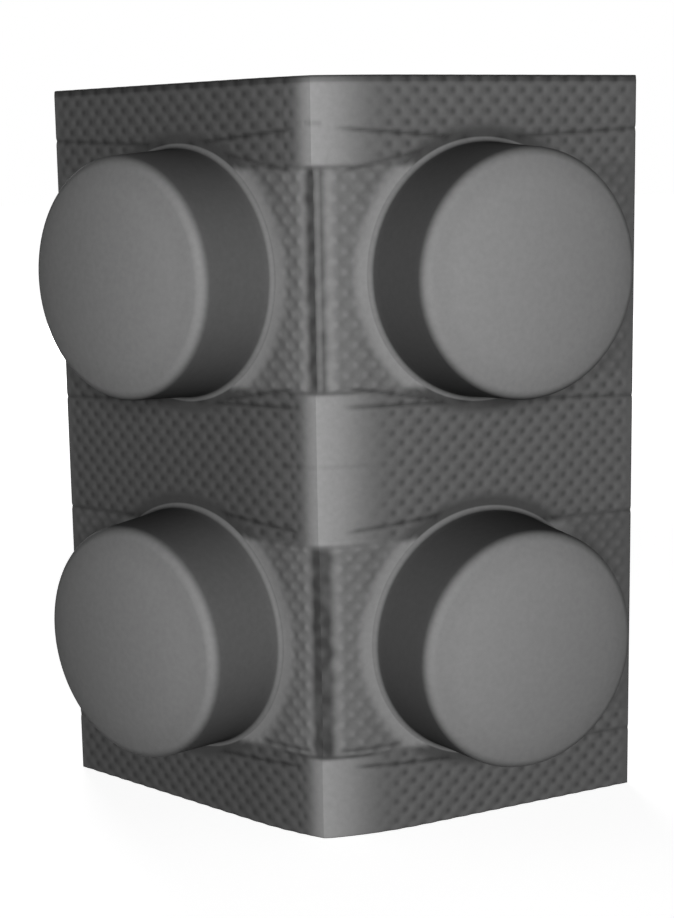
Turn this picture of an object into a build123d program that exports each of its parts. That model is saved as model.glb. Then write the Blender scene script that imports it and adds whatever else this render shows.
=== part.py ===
# Folded blister pack of four round tablets, two rows of two, sealed all round.
# The card is folded outwards along its upright centre line and stands on its lower edges.
# Millimetres, +Z up. The ridge and the pockets face -Y. The origin is the middle of the
# pack's length and depth, on the surface that it stands on.
import os
from math import atan2, cos, degrees, radians, sin, tan

from build123d import *

os.makedirs("parts", exist_ok=True)

# Card
card_height = 40.0
panel_width = 19.4  # from the fold line to the panel's outer edge
web = 0.3  # forming film with its lidding foil
fold_angle = 113.2  # between the two panels, inside the fold
corner_rounding = 0.25

# Bend along the fold: soft in the bands above, between and below the rows of pockets,
# and pinched with a scored crest where the stiff pockets hold the panels flat
band_bend = 4.0  # outer radius
row_bend = 2.4  # outer radius
row_above = 5.5  # from a row's centre up to the end of its pinched stretch
row_below = 5.9  # the same, downwards
score_width = 1.2
score_depth = 0.12

# Pockets, each filled by its tablet
pocket_offset = 9.7  # from the fold line to a pocket's centre
lower_row = 10.45  # from the bottom edge to the lower pockets' centres
row_pitch = 19.5
base_radius = 6.65  # at the card
draft = 4.0  # degrees, of the pocket's wall
shoulder_height = 4.9  # from the card to the top of the rounded rim
dome_slope = 8.0  # degrees, of the domed face at its rim
rim_rounding = 0.7
foot_rounding = 0.35

# Creases where the rows meet the bands: two from each pocket towards the fold, which open
# like a wedge, and one from each pocket to the panel's outer edge
crease_width = 0.16
crease_depth = 0.08
crease_level = 6.75  # from a row's centre to the creases at its pockets
crease_spread = 0.9  # how far the wedge's inner side draws in by the fold
crease_lift = 0.35  # how far the other creases draw out
crease_gap = 0.25  # between the bend and the wedge, and between the wedge's sides at its tip
crease_tip = 7.2  # from the fold line to the wedge's tip
crease_leave = 12.1  # from the fold line to where the outer crease leaves the pocket

half_angle = radians(fold_angle / 2)
sideways = sin(half_angle)  # how far a step along a panel goes to the side
backwards = cos(half_angle)  # and how far it goes back
rows = [lower_row, lower_row + row_pitch]
crease_start = band_bend / tan(half_angle) + crease_gap

# Section of a pocket: the wall's top, the middle of the rim's rounding and the dome's top
wall_top = shoulder_height - rim_rounding * (1 - sin(radians(draft)))
wall_top_radius = base_radius - wall_top * tan(radians(draft))
rim_centre_radius = wall_top_radius - rim_rounding * cos(radians(draft))
dome_height = shoulder_height + rim_centre_radius * tan(radians(dome_slope / 2))

# The rounded rims reach furthest forward, and the panels' inner edges furthest back
rim_front = backwards * (pocket_offset - rim_centre_radius) - rim_rounding
rim_front -= sideways * (shoulder_height - rim_rounding)
panel_back = backwards * panel_width + sideways * web
fold_y = -(rim_front + panel_back) / 2
fold_corner = (0, fold_y)
left_end = (-sideways * panel_width, fold_y + backwards * panel_width)
right_end = (sideways * panel_width, fold_y + backwards * panel_width)


def folded_card(low, high, bend):
    # A stretch of the card between two heights, with its own bend along the fold
    with BuildSketch(Plane.XY.offset(low)) as section:
        with BuildLine():
            FilletPolyline(left_end, fold_corner, right_end, radius=bend)
            offset(amount=web, side=Side.LEFT)
        make_face()
    extrude(section.sketch, amount=high - low)


def panel_face(side):
    # A panel's outer face: its Y is up, and its X is side times the distance from the fold
    return Plane(
        origin=(0, fold_y, 0),
        x_dir=(sideways, side * backwards, 0),
        z_dir=(side * backwards, -sideways, 0),
    )


def pocket(side, row):
    # Half of the pocket's section, turned about the pocket's axis
    face = panel_face(side)
    centre = face.from_local_coords((side * pocket_offset, row, 0))
    upright = Plane(origin=centre, x_dir=face.x_dir, z_dir=face.x_dir.cross(face.z_dir))
    with BuildSketch(upright) as half_section:
        with BuildLine():
            wall = Polyline(
                (0, dome_height),
                (0, -web / 2),
                (base_radius, -web / 2),
                (base_radius, 0),
                (wall_top_radius, wall_top),
            )
            rim = JernArc(wall @ 1, wall % 1, rim_rounding, 90 - draft - dome_slope)
            TangentArc(rim @ 1, (0, dome_height), tangent=rim % 1)
        make_face()
    revolve(half_section.sketch, axis=Axis(centre, face.z_dir))


def crease(side, start, end):
    # A slim round-ended groove in a panel's outer face
    run = Vector(side * (end[0] - start[0]), end[1] - start[1])
    middle = (side * (start[0] + end[0]) / 2, (start[1] + end[1]) / 2)
    with BuildSketch(panel_face(side).offset(-crease_depth)) as slot:
        with Locations(Location(middle, degrees(atan2(run.Y, run.X)))):
            SlotCenterToCenter(run.length, crease_width)
    extrude(slot.sketch, amount=2 * crease_depth, mode=Mode.SUBTRACT)


def score(row, bend):
    # A shallow flat-bottomed groove along the crest of a row's pinched stretch
    crest = fold_y + bend / sideways - bend
    with BuildSketch(Plane.XY.offset(row - row_below)) as slot:
        with Locations((0, crest)):
            Rectangle(score_width, 2 * score_depth)
    extrude(slot.sketch, amount=row_below + row_above, mode=Mode.SUBTRACT)


def is_corner(edge):
    # Whether an edge is one of the card's four corners, which run through its thickness
    at_end = abs(edge.center().X) > sideways * panel_width - web
    return at_end and abs(edge.length - web) < 0.001


def is_foot(edge):
    # Whether an edge is the circle where a pocket's wall meets the card
    return edge.geom_type == GeomType.CIRCLE and abs(edge.radius - base_radius) < 0.001


with BuildPart() as blister_pack:
    band_low = 0
    for row in rows:
        folded_card(band_low, row - row_below, band_bend)
        folded_card(row - row_below, row + row_above, row_bend)
        band_low = row + row_above
    folded_card(band_low, card_height, band_bend)
    fillet(blister_pack.edges().filter_by(is_corner), radius=corner_rounding)

    for row in rows:
        score(row, row_bend)
        for side in (-1, 1):
            pocket(side, row)
    fillet(blister_pack.edges().filter_by(is_foot), radius=foot_rounding)

    for row in rows:
        for side in (-1, 1):
            for up in (-1, 1):
                level = row + up * crease_level
                drawn_in = level - up * crease_spread
                drawn_out = level + up * crease_lift
                crease(side, (crease_start, drawn_in), (crease_tip, level - up * crease_gap / 2))
                crease(side, (crease_start, drawn_out), (crease_tip, level + up * crease_gap / 2))
                crease(side, (crease_leave, level), (panel_width + crease_width, drawn_out))

blister_pack.part.label = "blister_pack"
export_step(blister_pack.part, "parts/blister_pack.step")
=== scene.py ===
from math import cos, hypot, pi, radians, sin, sqrt, tan

import bmesh
import bpy
from mathutils import Matrix, Vector, noise


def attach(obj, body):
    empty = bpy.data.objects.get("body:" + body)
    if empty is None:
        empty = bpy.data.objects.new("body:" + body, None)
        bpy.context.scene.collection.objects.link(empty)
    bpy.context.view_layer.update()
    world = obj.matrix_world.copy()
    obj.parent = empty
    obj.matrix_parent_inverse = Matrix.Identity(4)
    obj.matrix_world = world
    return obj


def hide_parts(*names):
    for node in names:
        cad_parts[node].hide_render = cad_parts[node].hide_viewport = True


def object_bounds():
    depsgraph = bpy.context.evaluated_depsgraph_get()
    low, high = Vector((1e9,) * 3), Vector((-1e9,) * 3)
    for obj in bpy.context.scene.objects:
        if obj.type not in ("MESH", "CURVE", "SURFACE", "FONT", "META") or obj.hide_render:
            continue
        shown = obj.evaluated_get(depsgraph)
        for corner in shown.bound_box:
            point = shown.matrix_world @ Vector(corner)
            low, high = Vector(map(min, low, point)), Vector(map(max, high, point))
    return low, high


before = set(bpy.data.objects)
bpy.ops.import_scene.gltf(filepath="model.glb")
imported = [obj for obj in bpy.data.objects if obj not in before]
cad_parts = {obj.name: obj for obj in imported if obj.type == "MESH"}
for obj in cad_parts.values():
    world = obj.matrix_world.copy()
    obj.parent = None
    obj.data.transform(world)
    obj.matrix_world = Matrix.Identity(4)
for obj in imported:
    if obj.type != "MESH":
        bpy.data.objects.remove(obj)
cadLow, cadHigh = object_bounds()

mm = 0.001

# The card: two flat panels that meet along an upright fold. Sizes are in millimetres.
card = {
    "foldAngle": 113.2,  # degrees, inside the fold
    "web": 0.30,  # film and foil together
    "foil": 0.03,
    "step": 0.10,  # size of a mesh cell on the front
    "backStep": 0.14,
    "sideRounding": 0.10,  # of the cut edges
    "topRounding": 0.20,
}
halfAngle = radians(card["foldAngle"] / 2)
sideways, backwards = sin(halfAngle), cos(halfAngle)
cardHeight = (cadHigh.z - cadLow.z) / mm
panelWidth = cadHigh.x / mm / sideways
foldY = cadHigh.y / mm - backwards * panelWidth - sideways * card["web"]

# The rows of pockets, and how far a row's flat stretch reaches above and below its centre
rows = {"centres": (10.45, 29.95), "above": 5.5, "below": 5.9, "soft": 0.22}

# The crest of the fold, seen from above: how far it lies to the right of the panels' sharp
# corner and behind it, how far the bend reaches into each panel and how fast it dies out
fold = {
    "bandCrest": (-0.30, 0.78),
    "rowCrest": (-0.22, 0.55),
    "bandReach": {-1: 5.0, 1: 6.2},
    "bandPower": {-1: 1.9, 1: 2.3},
    "rowReach": 2.6,
    "rowPower": 1.5,
    "giveWay": 2.3,  # how far into a panel the mesh shifts to meet the crest
    "lipWidth": 0.45,  # rounding beside the crest, on its right
    "lipDrop": 0.05,
}

# A pocket: the sizes of its half section, from the card up to the domed face
pocket = {
    "offset": 9.7,  # from the fold to the pocket's centre
    "ringRadius": 7.35,  # where the pocket's rings take over from the card's cells
    "baseRadius": 6.65,
    "draft": 4.0,  # degrees
    "shoulder": 4.9,  # height of the rim's top
    "domeSlope": 12.5,  # degrees, at the rim
    "rimRounding": 0.7,
    "footRounding": 0.3,
    "smoothRing": (7.15, 7.9),  # the knurl fades in between these radii
}

knurl = {"period": 1.06, "height": 0.030, "rowHeight": 0.028, "foilHeight": 0.018}

# Where the surface changes, in millimetres from the fold unless a note says otherwise
fades = {
    "knurl": {-1: (0.5, 2.4), 1: (2.2, 5.0)},
    "rowKnurl": (0.4, 1.4),
    "edge": (0.15, 0.7),  # from the panel's far edge
    "outer": (13.5, 16.5),
    "beside": (7.2, 8.4),  # from a pocket's centre
    # how far the painted highlight along the crest reaches into each panel
    "crest": {-1: 1.6, 1: 4.2},
    # where the painted shade below the card's top edge starts and ends
    "topEdgeShade": (0.45, 0.25),  # below the card's top
}

# How light the film's colour is in each place, as a share of its grey; several entries are painted
# shade or painted highlight
tones = {
    # painted shade: the bands darken beside the pockets
    "bandSideShade": 0.26,  # beside a pocket
    "bandFlat": 0.42,
    "band": {-1: 0.37, 1: 0.47},
    "rowFlat": 0.98,
    "row": 0.53,
    "rowOuter": 0.38,
    # painted shade in the knurl's dimples, in the bands
    "pitShade": 0.42,
    # painted highlight on the knurl's bumps, in the rows
    "peakHighlight": 0.26,
    # painted highlight along the fold's crest, in the bands
    "crest": 1.03,
    # painted shade along the crest, in the rows
    "score": 0.18,
    # painted shade in the creases
    "crease": 0.50,
    # painted shade below the card's top edge
    "topEdgeShade": 0.55,
    "foot": 0.67,
    # painted shade on the pocket's walls, deepest near their top
    "wall": 0.55,
    "wallTop": 0.50,
    "rim": 0.80,
    "face": 0.88,
}


def smooth(low, high, x):
    t = min(max((x - low) / (high - low), 0.0), 1.0)
    return t * t * (3 - 2 * t)


def mix(a, b, t):
    return a + (b - a) * t


def rowness(v):
    # 1 inside a row's flat stretch, 0 in the bands
    soft = rows["soft"]
    inside = 0.0
    for centre in rows["centres"]:
        low, high = centre - rows["below"], centre + rows["above"]
        rise = smooth(low - soft, low + soft, v)
        inside = max(inside, rise * (1 - smooth(high - soft, high + soft, v)))
    return inside


def foldMap(side, u, v, h, inner=0.0):
    # From a panel's own flat coordinates to the folded card: u runs from the fold, v up and
    # h outwards. Near the fold the panel bends down to the crest.
    row = rowness(v)
    crestX = mix(fold["bandCrest"][0], fold["rowCrest"][0], row)
    crestY = mix(fold["bandCrest"][1], fold["rowCrest"][1], row) + inner / sideways
    start = side * crestX * sideways + crestY * backwards
    total = crestY * sideways - side * crestX * backwards - inner
    u += start * max(0.0, 1 - u / fold["giveWay"])
    lip = fold["lipDrop"] * (1 - row) if side > 0 else 0.0
    reach, power = fold["bandReach"][side], fold["bandPower"][side]
    bend = max(0.0, (reach - u) / (reach - start)) ** power
    reach, power = fold["rowReach"], fold["rowPower"]
    pinched = max(0.0, (reach - u) / (reach - start)) ** power
    drop = (total - lip) * mix(bend, pinched, row)
    drop += lip * max(0.0, 1 - (u - start) / fold["lipWidth"]) ** 2
    out = h - inner - drop
    x = side * (u * sideways + out * backwards)
    y = foldY + u * backwards - out * sideways
    return Vector((x, y, v)) * mm


def knurlHeight(side, u, v):
    # Two families of slanting waves, which cross in rows of dimples
    wave = 2 * pi / knurl["period"]
    s = side * u
    lean = 0.5 + 0.18 * noise.noise(Vector((s * 0.09, v * 0.09, 3.7)))
    down = cos(wave * (s + v))
    up = cos(wave * (s - v))
    return lean * down + (1 - lean) * up


# Creases across a panel, from (u, height above the row's centre) to the same, with a strength
creases = {
    "width": 0.13,
    "depth": 0.07,
    "upper": [
        ((1.5, 7.45), (9.5, 6.78), 1.0),
        ((1.6, 5.35), (7.2, 6.45), 0.7),
        ((10.2, 6.8), (19.4, 7.25), 0.9),
        ((1.7, -5.7), (6.8, -6.6), 0.9),
        ((1.6, -6.7), (9.0, -6.85), 1.0),
        ((10.6, -6.9), (19.4, -7.35), 0.8),
    ],
    "lower": [
        ((1.7, 6.2), (7.5, 6.7), 0.9),
        ((13.4, 5.75), (19.4, 5.65), 0.8),
        ((1.0, -5.55), (4.6, -5.6), 0.9),
        ((1.9, -6.6), (8.6, -6.95), 1.0),
        ((10.6, -6.9), (19.4, -7.1), 0.7),
    ],
    "across": [((0.0, 20.15), (3.2, 20.15), 0.25), ((0.0, 37.65), (0.6, 37.65), 0.5)],
}


def allCreases():
    lower, upper = rows["centres"]
    found = [((a[0], a[1] + upper), (b[0], b[1] + upper), k) for a, b, k in creases["upper"]]
    found += [((a[0], a[1] + lower), (b[0], b[1] + lower), k) for a, b, k in creases["lower"]]
    return found + creases["across"]


creaseLines = allCreases()


def creaseAt(u, v):
    # How deep in a crease a point lies, from 0 to 1; each one fades out at its ends
    deepest = 0.0
    for (u0, v0), (u1, v1), strength in creaseLines:
        if u < u0 - 0.5 or u > u1 + 0.5 or v < min(v0, v1) - 0.6 or v > max(v0, v1) + 0.6:
            continue
        along = (u - u0) / (u1 - u0)
        away = abs(v - mix(v0, v1, along)) / creases["width"]
        ends = smooth(-0.06, 0.12, along) * (1 - smooth(0.9, 1.05, along) * (u1 < 19))
        deepest = max(deepest, strength * ends * max(0.0, 1 - away / 2) ** 2)
    return deepest


def pocketDistance(u, v):
    return min(hypot(u - pocket["offset"], v - centre) for centre in rows["centres"])


def cardSurface(side, u, v):
    # Height and tone of the card's front. The tone is how light the film's colour is there, with
    # painted shade and painted highlights in it.
    row = rowness(v)
    ring = smooth(*pocket["smoothRing"], pocketDistance(u, v))
    fromFold = mix(smooth(*fades["knurl"][side], u), smooth(*fades["rowKnurl"], u), row)
    fromEdge = smooth(*fades["edge"], panelWidth - u)
    pattern = knurlHeight(side, u, v)
    shown = ring * fromFold * fromEdge
    size = mix(knurl["height"], knurl["rowHeight"], row)
    crease = creaseAt(u, v)
    height = size * shown * pattern - creases["depth"] * crease
    outer = smooth(*fades["outer"], u)
    clear = smooth(*fades["beside"], pocketDistance(u, v))
    # painted shade in the bands beside the pockets
    bandFlat = mix(tones["bandSideShade"], tones["bandFlat"], clear)
    flat = mix(bandFlat, mix(tones["rowFlat"], tones["rowOuter"], outer), row)
    rough = mix(tones["band"][side], mix(tones["row"], tones["rowOuter"], outer), row)
    tone = mix(flat, rough, shown)
    # painted shade in the knurl's dimples, in the bands
    tone *= 1 - tones["pitShade"] * shown * (1 - row) * max(0.0, -pattern) ** 1.5
    # painted highlight on the knurl's bumps, in the rows
    tone *= 1 + tones["peakHighlight"] * shown * row * max(0.0, pattern) ** 1.5
    # painted highlight along the fold's crest, in the bands
    crest = (1 - row) * (1 - smooth(0.0, fades["crest"][side], u))
    tone = mix(tone, tones["crest"], crest)
    # painted shade along the crest, in the rows
    tone = mix(tone, tones["score"], row * scoreAt(side, u, v))
    # painted shade below the card's top edge
    tone *= mix(1, tones["topEdgeShade"], smooth(*(cardHeight - d for d in fades["topEdgeShade"]), v))
    # painted shade in the creases, on top of their real groove
    return height, tone * (1 - tones["crease"] * crease)


# The painted shade along the crest: how far it reaches to each side, and how ragged it is
score = {
    "upper": 0.62,
    "lower": 0.75,
    "ragged": 0.16,
    "soft": (0.4, 0.3),
    "strength": 0.92,
    "mottle": 0.2,
    # painted highlight down the middle of the painted shade
    "core": 0.45,
}


def scoreAt(side, u, v):
    # The painted shade lies beside the pockets; on the right of the upper one it has a painted
    # highlight down its core
    upper = v > cardHeight / 2
    edge = score["upper"] if upper else score["lower"]
    edge += score["ragged"] * noise.noise(Vector((side * 5.0, v * 1.4, 1.0)))
    inside = 1 - smooth(edge - score["soft"][0], edge + score["soft"][1], u)
    inside *= score["strength"] + score["mottle"] * noise.noise(Vector((u * 1.6, v * 1.6, side * 7.0)))
    if side > 0 and upper:
        inside *= 1 - score["core"] * smooth(0.02, 0.14, u) * (1 - smooth(0.24, 0.42, u))
    return min(max(inside, 0.0), 1.0)


def pocketSection():
    # Radius and height along the pocket, from the card's flat ring to the dome
    draft, slope = radians(pocket["draft"]), radians(pocket["domeSlope"])
    rim, foot = pocket["rimRounding"], pocket["footRounding"]
    wallTop = pocket["shoulder"] - rim * (1 - sin(draft))
    wallTopRadius = pocket["baseRadius"] - wallTop * tan(draft)
    rimCentre = wallTopRadius - rim * cos(draft)
    section = [(pocket["ringRadius"] - 0.09, 0.0, tones["foot"])]
    footRadius = pocket["baseRadius"] - foot * tan(draft) + foot / cos(draft)
    for i in range(7):
        turn = 3 * pi / 2 - (pi / 2 - draft) * i / 6
        tone = mix(tones["foot"], tones["wall"], smooth(0.55, 1.0, i / 6))
        section.append((footRadius + foot * cos(turn), foot + foot * sin(turn), tone))
    low = section[-1]
    for i in range(1, 10):
        # painted shade up the pocket's wall
        tone = mix(tones["wall"], tones["wallTop"], i / 9)
        section.append((mix(low[0], wallTopRadius, i / 9), mix(low[1], wallTop, i / 9), tone))
    for i in range(1, 10):
        turn = draft + (pi / 2 - slope - draft) * i / 9
        tone = mix(tones["wallTop"], tones["rim"], smooth(0.0, 0.6, i / 9))
        section.append((rimCentre + rim * cos(turn), pocket["shoulder"] - rim + rim * sin(turn), tone))
    domeRadius = rim + rimCentre / sin(slope)
    domeTop = pocket["shoulder"] + rimCentre * tan(slope / 2)
    edge = section[-1][0]
    for i in range(1, 14):
        r = edge * (1 - i / 14)
        tone = mix(tones["rim"], tones["face"], smooth(0.0, 0.25, i / 14))
        section.append((r, domeTop - domeRadius + sqrt(domeRadius**2 - r**2), tone))
    return section


def flatGrid(bm, low, high, width, step):
    columns, count = round(width / step), round((high - low) / step)
    bmesh.ops.create_grid(bm, x_segments=columns, y_segments=count, size=0.5)
    bmesh.ops.scale(bm, vec=(width, high - low, 1), verts=bm.verts)
    bmesh.ops.translate(bm, vec=(width / 2, (low + high) / 2, 0), verts=bm.verts)


def raisePocket(bm, centre, section, toneLayer):
    # Cuts a round hole in the flat grid and draws its edge up, ring by ring, into the pocket
    middle = Vector((pocket["offset"], centre, 0))
    radius = pocket["ringRadius"]
    inside = [f for f in bm.faces if (f.calc_center_median() - middle).length < radius]
    bmesh.ops.delete(bm, geom=inside, context="FACES")
    near = [v for v in bm.verts if v.is_boundary and (v.co - middle).length < radius + 0.3]
    for v in near:
        v.co = middle + (v.co - middle).normalized() * radius
    bmesh.ops.remove_doubles(bm, verts=near, dist=card["step"] * 0.45)
    loop = [e for e in bm.edges if e.is_boundary and (e.verts[0].co - middle).length < radius + 0.01]
    for r, h, tone in section:
        made = bmesh.ops.extrude_edge_only(bm, edges=loop)["geom"]
        loop = [e for e in made if isinstance(e, bmesh.types.BMEdge)]
        for v in [v for v in made if isinstance(v, bmesh.types.BMVert)]:
            out = Vector((v.co.x - middle.x, v.co.y - middle.y, 0)).normalized()
            v.co = middle + out * r + Vector((0, 0, h))
            v[toneLayer] = tone
    last = {v for e in loop for v in e.verts}
    bmesh.ops.pointmerge(bm, verts=list(last), merge_co=middle + Vector((0, 0, section[-1][1])))


def cutEdge(bm, isEdge, steps, outward):
    # Draws a border's cut edge back, round its corner and across the film's thickness
    loop = [e for e in bm.edges if e.is_boundary and isEdge(e)]
    for step in steps:
        made = bmesh.ops.extrude_edge_only(bm, edges=loop)["geom"]
        loop = [e for e in made if isinstance(e, bmesh.types.BMEdge)]
        for v in [v for v in made if isinstance(v, bmesh.types.BMVert)]:
            v.co += outward(v.co, step)


def finishMesh(bm, name, material):
    mesh = bpy.data.meshes.new(name)
    bm.to_mesh(mesh)
    bm.free()
    mesh.polygons.foreach_set("use_smooth", [True] * len(mesh.polygons))
    mesh.materials.append(material)
    piece = bpy.data.objects.new(name, mesh)
    bpy.context.scene.collection.objects.link(piece)
    return piece


def filmPanel(side, material):
    bm = bmesh.new()
    toneLayer = bm.verts.layers.float.new("tone")
    low, top, width = card["sideRounding"], card["topRounding"], panelWidth
    flatGrid(bm, low, cardHeight - top, width - low, card["step"])
    section = pocketSection()
    for centre in rows["centres"]:
        raisePocket(bm, centre, section, toneLayer)
    for v in bm.verts:
        if v.co.z < 0.001:
            height, tone = cardSurface(side, v.co.x, v.co.y)
            v.co.z += height
            v[toneLayer] = tone

    # the cut edges: a quarter round, then straight back to the foil
    lowest, highest = low + 0.001, cardHeight - top - 0.001
    farthest = width - low - 0.001

    def isCut(edge):
        a, b = (v.co for v in edge.verts)
        sameSide = a.x > farthest and b.x > farthest
        return sameSide or max(a.y, b.y) < lowest or min(a.y, b.y) > highest

    turns = 5

    def outward(co, i):
        before, after = pi / 2 * i / turns, pi / 2 * (i + 1) / turns
        move = Vector((0, 0, 0))
        if co.x > farthest - 0.0005:
            move.x = low * (sin(after) - sin(before))
        if co.y > highest - 0.0005:
            move.y = top * (sin(after) - sin(before))
        if co.y < lowest + 0.0005:
            move.y = -low * (sin(after) - sin(before))
        fall = top if co.y > highest else low
        move.z = fall * (cos(after) - cos(before))
        return move

    cutEdge(bm, isCut, range(turns), outward)
    rest = -(card["web"] - card["foil"])
    loop = [e for e in bm.edges if e.is_boundary and min(v.co.z for v in e.verts) < -low * 0.8]
    made = bmesh.ops.extrude_edge_only(bm, edges=loop)["geom"]
    for v in [v for v in made if isinstance(v, bmesh.types.BMVert)]:
        v.co.z = rest

    for v in bm.verts:
        v.co = foldMap(side, v.co.x, v.co.y, max(v.co.z, 0.0), max(-v.co.z, 0.0))
    if side < 0:
        bmesh.ops.reverse_faces(bm, faces=bm.faces)
    return finishMesh(bm, "film_right" if side > 0 else "film_left", material)


def foilSheet(material):
    bm = bmesh.new()
    for side in (-1, 1):
        half = bmesh.new()
        flatGrid(half, 0, cardHeight, panelWidth, card["backStep"])
        rim = [e for e in half.edges if e.is_boundary and max(v.co.x for v in e.verts) > 0.001]
        made = bmesh.ops.extrude_edge_only(half, edges=rim)["geom"]
        edge = {v for v in made if isinstance(v, bmesh.types.BMVert)}
        for v in half.verts:
            far = smooth(6.4, 7.1, pocketDistance(v.co.x, v.co.y)) * smooth(0.3, 1.2, v.co.x)
            far *= smooth(0.1, 0.5, min(panelWidth - v.co.x, v.co.y, cardHeight - v.co.y))
            h = knurl["foilHeight"] * far * knurlHeight(side, v.co.x, v.co.y)
            deep = card["web"] - (card["foil"] if v in edge else 0.0)
            v.co = foldMap(side, v.co.x, v.co.y, h, deep)
        if side > 0:
            bmesh.ops.reverse_faces(half, faces=half.faces)
        mesh = bpy.data.meshes.new("half")
        half.to_mesh(mesh)
        half.free()
        bm.from_mesh(mesh)
        bpy.data.meshes.remove(mesh)
    bmesh.ops.remove_doubles(bm, verts=bm.verts, dist=0.00001)
    return finishMesh(bm, "foil", material)


# Materials
finish = {
    "filmGrey": 0.25,
    "filmRoughness": 0.6,
    "filmShine": 0.04,
    "grain": 0.10,
    "grainScale": 3200.0,
    "foilGrey": 0.5,
    "foilRoughness": 0.5,
}


def newMaterial(name):
    material = bpy.data.materials.new(name)
    material.use_nodes = True
    nodes = material.node_tree.nodes
    return material, nodes, material.node_tree.links, nodes["Principled BSDF"]


def product(nodes, links, first, second):
    node = nodes.new("ShaderNodeMath")
    node.operation = "MULTIPLY"
    links.new(first, node.inputs[0])
    if isinstance(second, float):
        node.inputs[1].default_value = second
    else:
        links.new(second, node.inputs[1])
    return node.outputs["Value"]


def grain(nodes, links, amount):
    place = nodes.new("ShaderNodeTexCoord")
    speckle = nodes.new("ShaderNodeTexNoise")
    speckle.inputs["Scale"].default_value = finish["grainScale"]
    links.new(place.outputs["Object"], speckle.inputs["Vector"])
    level = nodes.new("ShaderNodeMapRange")
    level.inputs["To Min"].default_value = 1 - amount
    level.inputs["To Max"].default_value = 1 + amount
    links.new(speckle.outputs["Fac"], level.inputs["Value"])
    return level.outputs["Result"]


def filmMaterial():
    material, nodes, links, shader = newMaterial("satinFilm")
    # the film's grey times its tone, a fine grain and a painted shade that darkens the colour towards
    # the silhouette
    tone = nodes.new("ShaderNodeAttribute")
    tone.attribute_name = "tone"
    grey = product(nodes, links, tone.outputs["Fac"], finish["filmGrey"])
    # painted shade: the colour darkens as the surface turns away from the camera
    weight = nodes.new("ShaderNodeLayerWeight")
    weight.inputs["Blend"].default_value = 0.5
    facing = nodes.new("ShaderNodeMath")
    facing.operation = "SUBTRACT"
    facing.inputs[0].default_value = 1.0
    links.new(weight.outputs["Facing"], facing.inputs[1])
    grey = product(nodes, links, grey, facing.outputs["Value"])
    grey = product(nodes, links, grey, grain(nodes, links, finish["grain"]))
    links.new(grey, shader.inputs["Base Color"])
    shader.inputs["Roughness"].default_value = finish["filmRoughness"]
    shader.inputs["Specular IOR Level"].default_value = finish["filmShine"]
    return material


def foilMaterial():
    material, nodes, links, shader = newMaterial("liddingFoil")
    shader.inputs["Base Color"].default_value = (finish["foilGrey"],) * 3 + (1,)
    shader.inputs["Metallic"].default_value = 0.6
    shader.inputs["Roughness"].default_value = finish["foilRoughness"]
    return material


# Camera: where it stands, in millimetres from the panels' sharp corner at the card's foot
view = {
    "position": (10.87, -86.16, 35.76),
    "forward": (-0.1423, 0.9752, -0.1695),
    "up": (-0.0032, 0.1708, 0.9853),
    "focal": 2.022,  # focal length as a share of the frame's height
    "zoom": 0.93,
    "shift": (0.0537, 0.0),  # shares of the frame's height
    "sensor": 36.0,
}


def makeCamera():
    data = bpy.data.cameras.new("camera")
    data.sensor_fit = "AUTO"
    data.sensor_width = view["sensor"]
    data.lens = view["sensor"] * view["focal"] * view["zoom"]
    data.shift_x, data.shift_y = view["shift"]
    data.clip_start, data.clip_end = 0.005, 10
    camera = bpy.data.objects.new("camera", data)
    bpy.context.scene.collection.objects.link(camera)
    back = -Vector(view["forward"]).normalized()
    right = Vector(view["up"]).cross(back).normalized()
    up = back.cross(right)
    turned = Matrix((right, up, back)).transposed().to_4x4()
    spot = Vector(view["position"]) + Vector((0, foldY, 0))
    camera.matrix_world = Matrix.Translation(spot * mm) @ turned
    bpy.context.scene.camera = camera
    return camera


# The lamps, in metres and watts: the key stands behind the camera
lamps = {
    "key": {"spot": (0.0386, -0.293, 0.072), "size": 0.10, "power": 0.89},
    "rear": {"spot": (-0.10, 0.28, 0.085), "size": 0.15, "power": 0.30},
}
cardMiddle = (0, 0, 0.02)


def areaLight(name, spot, target, size, power):
    data = bpy.data.lights.new(name, "AREA")
    data.shape = "DISK"
    data.size = size
    data.energy = power
    lamp = bpy.data.objects.new(name, data)
    bpy.context.scene.collection.objects.link(lamp)
    lamp.location = spot
    lamp.rotation_euler = (Vector(spot) - Vector(target)).to_track_quat("Z", "Y").to_euler()
    return lamp


stage = {
    "floorSize": 1.5,
    "floorGrey": 0.9,
    "near": (0.08, 0.72),  # distance in metres, and how white the floor is by itself there
    "far": (0.17, 1.0),
    "room": 0.05,  # strength of the world's light on the object
}


def seenDirectly(nodes, links):
    # 1 for what the camera sees, straight or in a shiny or clear surface
    path = nodes.new("ShaderNodeLightPath")
    seen = path.outputs["Is Camera Ray"]
    for kind in ("Is Glossy Ray", "Is Transmission Ray"):
        either = nodes.new("ShaderNodeMath")
        either.operation = "MAXIMUM"
        links.new(seen, either.inputs[0])
        links.new(path.outputs[kind], either.inputs[1])
        seen = either.outputs["Value"]
    return seen


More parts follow.
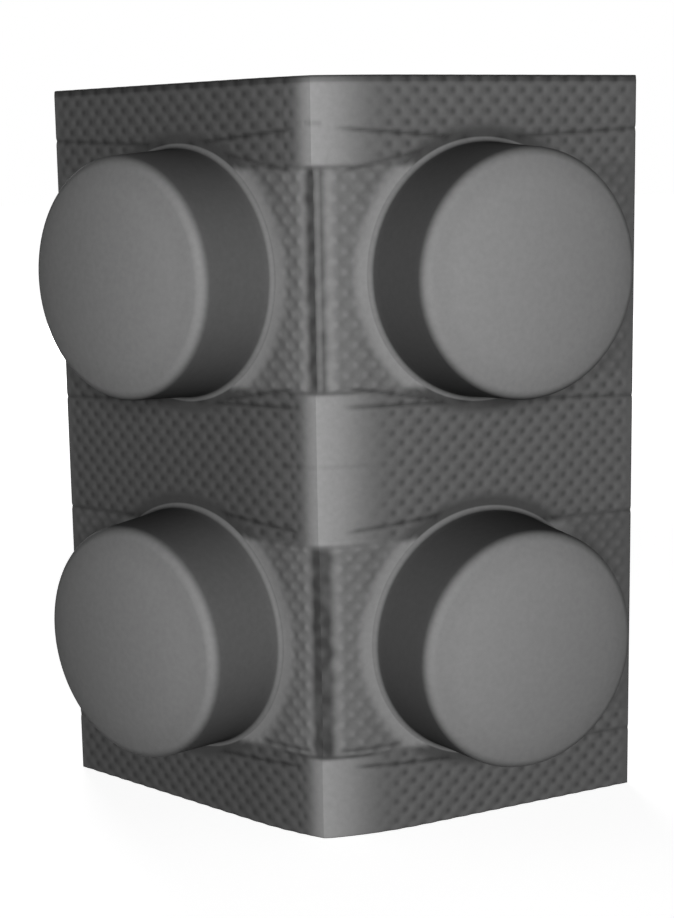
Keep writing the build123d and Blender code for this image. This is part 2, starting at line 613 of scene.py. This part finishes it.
def floorMaterial():
    material, nodes, links, shader = newMaterial("paleFloor")
    shader.inputs["Base Color"].default_value = (stage["floorGrey"],) * 3 + (1,)
    shader.inputs["Roughness"].default_value = 0.9
    shader.inputs["Specular IOR Level"].default_value = 0.0
    shader.inputs["Emission Color"].default_value = (1, 1, 1, 1)
    place = nodes.new("ShaderNodeTexCoord")
    away = nodes.new("ShaderNodeVectorMath")
    away.operation = "LENGTH"
    links.new(place.outputs["Object"], away.inputs[0])
    white = nodes.new("ShaderNodeMapRange")
    for end, name in (("near", "Min"), ("far", "Max")):
        white.inputs["From " + name].default_value = stage[end][0]
        white.inputs["To " + name].default_value = stage[end][1]
    links.new(away.outputs["Value"], white.inputs["Value"])
    seen = product(nodes, links, white.outputs["Result"], seenDirectly(nodes, links))
    links.new(seen, shader.inputs["Emission Strength"])
    return material


def makeStage():
    bm = bmesh.new()
    bmesh.ops.create_grid(bm, x_segments=1, y_segments=1, size=stage["floorSize"])
    mesh = bpy.data.meshes.new("floor")
    bm.to_mesh(mesh)
    bm.free()
    floor = bpy.data.objects.new("floor", mesh)
    bpy.context.scene.collection.objects.link(floor)
    mesh.materials.append(floorMaterial())

    world = bpy.data.worlds.new("studio")
    bpy.context.scene.world = world
    world.use_nodes = True
    nodes, links = world.node_tree.nodes, world.node_tree.links
    background = nodes["Background"]
    background.inputs["Color"].default_value = (1, 1, 1, 1)
    level = nodes.new("ShaderNodeMapRange")
    level.inputs["To Min"].default_value = stage["room"]
    level.inputs["To Max"].default_value = 1.0
    links.new(seenDirectly(nodes, links), level.inputs["Value"])
    links.new(level.outputs["Result"], background.inputs["Strength"])


bpy.context.scene.view_settings.view_transform = "Standard"
makeCamera()
makeStage()
for name, lamp in lamps.items():
    areaLight(name, lamp["spot"], cardMiddle, lamp["size"], lamp["power"])
print("camera, floor and lights are set")

film, foil = filmMaterial(), foilMaterial()
made = []
for side in (-1, 1):
    panel = filmPanel(side, film)
    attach(panel, "root")
    made.append(panel)
    print("film panel", side, len(panel.data.polygons), "faces")
back = foilSheet(foil)
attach(back, "root")
for piece in made + [back]:
    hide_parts("blister_pack")
print("foil", len(back.data.polygons), "faces")
